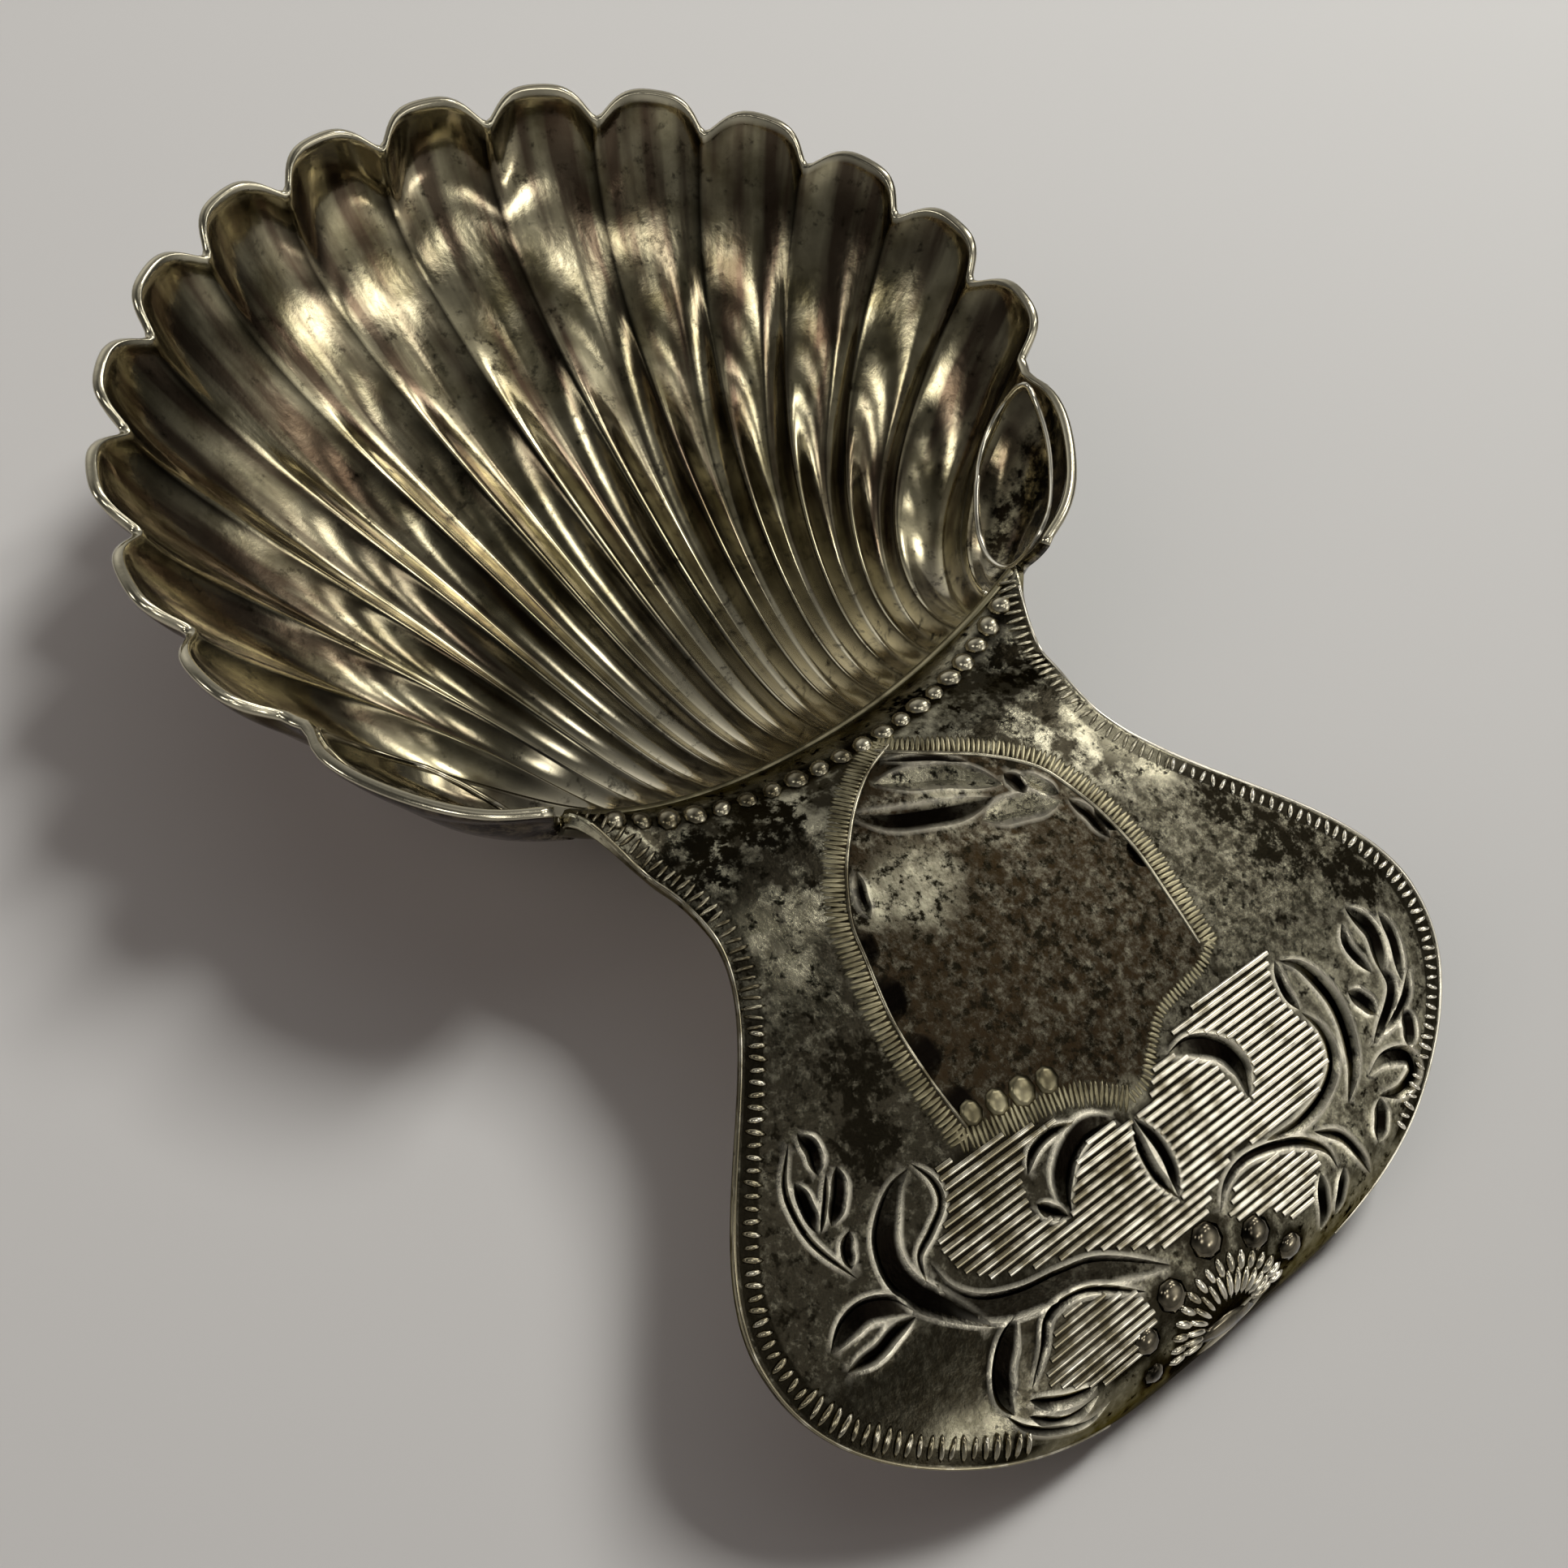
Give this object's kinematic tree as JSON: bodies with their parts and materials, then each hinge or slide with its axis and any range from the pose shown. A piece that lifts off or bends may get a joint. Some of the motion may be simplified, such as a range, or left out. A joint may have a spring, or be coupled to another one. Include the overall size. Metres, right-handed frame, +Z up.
{
  "type": "caddy spoon",
  "caption": "Small tea caddy spoon with a fluted scallop-shell bowl and a short, broad, arched sheet handle that turns down at its end.",
  "frame": {"origin": "below the middle of the spoon's box, on the surface that it rests on", "axes": "+X along the spoon towards the handle's end, +Y across, +Z up out of the bowl"},
  "size_m": [0.0702, 0.0452, 0.0121],
  "materials": {
    "bowl_silver": "old polished silver with warm tarnish",
    "handle_silver": "old silver, engraved, dark tarnish in the cuts",
    "solder_silver": "satin silver solder"
  },
  "bodies": {
    "root": {"shell_bowl": "bowl_silver", "handle": "handle_silver", "solder_seam": "solder_silver"}
  },
  "joints": []
}
